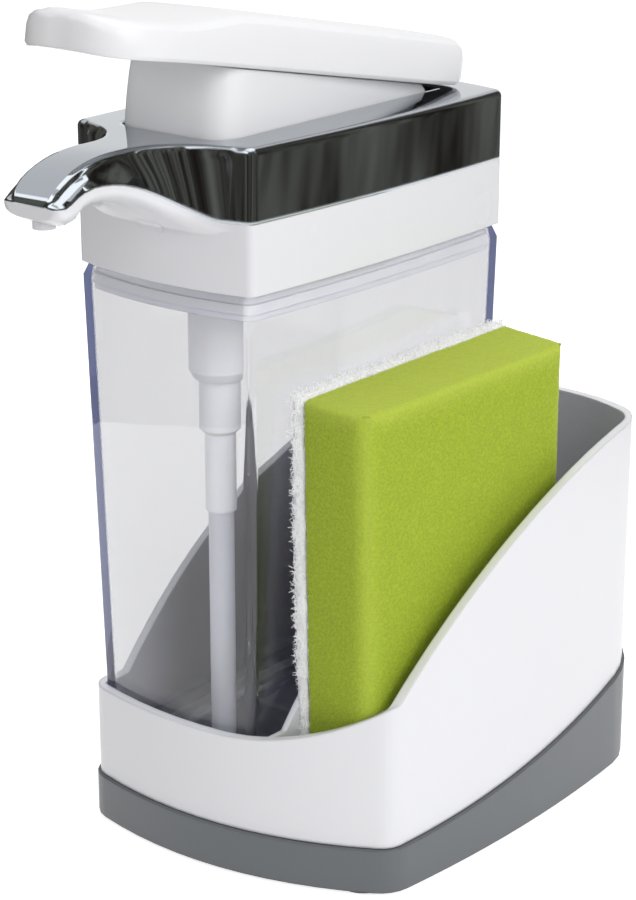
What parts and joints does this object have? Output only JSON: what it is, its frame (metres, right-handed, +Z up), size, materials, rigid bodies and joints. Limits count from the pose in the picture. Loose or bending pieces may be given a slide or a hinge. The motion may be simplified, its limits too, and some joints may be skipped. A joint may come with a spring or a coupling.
{
  "type": "soap pump caddy",
  "caption": "Lever-topped soap pump with a clear bottle, standing beside an upright sponge in one swept white caddy on a grey base.",
  "frame": {"origin": "middle of the footprint, spout included, on the surface the feet stand on", "axes": "+Z up, -Y towards the spout, +X towards the sponge"},
  "size_m": [0.0876, 0.1637, 0.1968],
  "materials": {
    "grey_plastic": "moulded, fine satin grain",
    "white_plastic": "moulded, soft gloss",
    "clear_plastic": "clear moulded plastic, polished",
    "chrome_plating": "bright chromed plastic",
    "grey_rubber": "soft moulded rubber",
    "dark_rubber": "soft moulded rubber",
    "natural_plastic": "milky moulded plastic",
    "soft_hose": "milky flexible hose",
    "steel": "plain steel",
    "green_foam": "open-cell foam",
    "white_scourer": "matted nylon fibre"
  },
  "bodies": {
    "caddy": {"base_skirt": "grey_plastic", "base_feet": "grey_rubber", "base_screws": "steel", "caddy_shell": "white_plastic"},
    "bottle": {"bottle": "clear_plastic"},
    "head": {"bottle_gasket": "grey_rubber", "collar": "white_plastic", "chrome_cover": "chrome_plating", "cover_screws": "steel", "spout_nozzle": "white_plastic", "outlet_hose": "soft_hose", "pump_barrel": "natural_plastic", "barrel_washer": "grey_rubber", "gland_nut": "natural_plastic", "stem_wiper": "dark_rubber", "suction_valve": "soft_hose", "dip_tube": "natural_plastic", "return_spring": "steel", "hinge_pin": "steel"},
    "plunger": {"plunger": "natural_plastic", "piston_seal": "dark_rubber", "delivery_valve": "soft_hose"},
    "lever": {"lever_block": "white_plastic", "lever_pad": "white_plastic", "lever_screws": "steel"},
    "sponge": {"sponge_foam": "green_foam", "sponge_scourer": "white_scourer"}
  },
  "joints": [
    {"name": "bottle_lift", "type": "slide", "parent": "caddy", "child": "bottle", "axis": [0, 0, 1], "range_m": [0, 0.085]},
    {"name": "head_lift", "type": "slide", "parent": "bottle", "child": "head", "axis": [0, 0, 1], "range_m": [0, 0.12]},
    {"name": "lever_press", "type": "hinge", "parent": "head", "child": "lever", "pos_m": [-0.0141, 0.0366, 0.161], "axis": [1, 0, 0], "range_deg": [0, 9.5], "stiffness_Nm_per_rad": 2.3, "springref_deg": -10.89},
    {"name": "plunger_stroke", "type": "slide", "parent": "head", "child": "plunger", "axis": [0, 0, -1], "range_m": [0, 0.0103], "deforming": ["return_spring"]},
    {"name": "sponge_lift", "type": "slide", "parent": "caddy", "child": "sponge", "axis": [0, 0, 1], "range_m": [0, 0.085]}
  ],
  "couplings": [
    {"joint": "plunger_stroke", "follows": "lever_press", "m_per_rad": 0.062}
  ]
}
